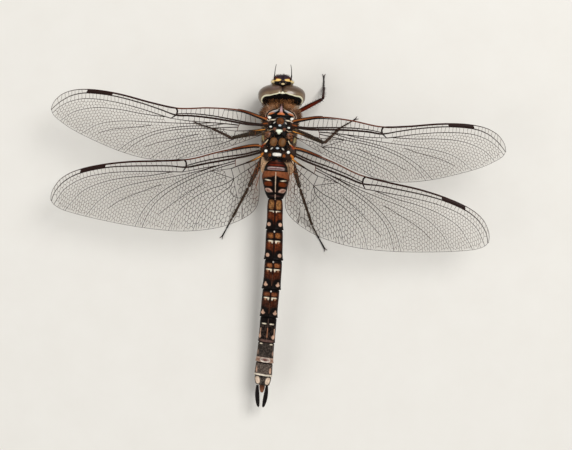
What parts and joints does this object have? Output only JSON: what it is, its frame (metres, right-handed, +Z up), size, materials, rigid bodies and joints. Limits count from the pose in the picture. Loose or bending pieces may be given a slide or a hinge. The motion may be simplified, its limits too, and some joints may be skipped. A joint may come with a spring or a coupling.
{
  "type": "dragonfly",
  "caption": "Darner dragonfly standing with four clear veined wings spread flat, large eyes meeting on the head, and a long dark spotted abdomen.",
  "frame": {"origin": "on the floor, under the middle of the animal's bounding box", "axes": "+X to the animal's left along the wings, -Y towards its head, +Z up"},
  "size_m": [0.0948, 0.0726, 0.0128],
  "materials": {
    "thorax": "brown cuticle with short hair and pale spots",
    "head": "black and purple-brown cuticle with yellow and cream marks",
    "eye": "glossy taupe compound eye with a cream rear rim",
    "abdomen": "satin black-brown cuticle with pale rings and spots",
    "tail": "satin dark brown",
    "wing": "clear membrane with dark veins",
    "leg": "satin dark brown, redder on the thighs"
  },
  "bodies": {
    "root": {"prothorax": "thorax", "thorax": "thorax", "head": "head", "face": "head", "labium": "head", "eye_left": "eye", "eye_right": "eye", "antenna_left": "head", "antenna_right": "head", "abdomen_1": "abdomen", "abdomen_2": "abdomen", "abdomen_3": "abdomen", "abdomen_4": "abdomen", "abdomen_5": "abdomen", "abdomen_6": "abdomen", "abdomen_7": "abdomen", "abdomen_8": "abdomen", "abdomen_9": "abdomen", "abdomen_10": "abdomen", "cercus_left": "tail", "cercus_right": "tail", "epiproct": "tail", "forewing_left": "wing", "forewing_right": "wing", "hindwing_left": "wing", "hindwing_right": "wing", "coxa_fore_right": "leg", "femur_fore_right": "leg", "tibia_fore_right": "leg", "tarsus_fore_right": "leg", "coxa_fore_left": "leg", "femur_fore_left": "leg", "tibia_fore_left": "leg", "tarsus_fore_left": "leg", "coxa_middle_right": "leg", "femur_middle_right": "leg", "tibia_middle_right": "leg", "tarsus_middle_right": "leg", "coxa_middle_left": "leg", "femur_middle_left": "leg", "tibia_middle_left": "leg", "tarsus_middle_left": "leg", "coxa_hind_right": "leg", "femur_hind_right": "leg", "tibia_hind_right": "leg", "tarsus_hind_right": "leg", "coxa_hind_left": "leg", "femur_hind_left": "leg", "tibia_hind_left": "leg", "tarsus_hind_left": "leg"}
  },
  "joints": []
}
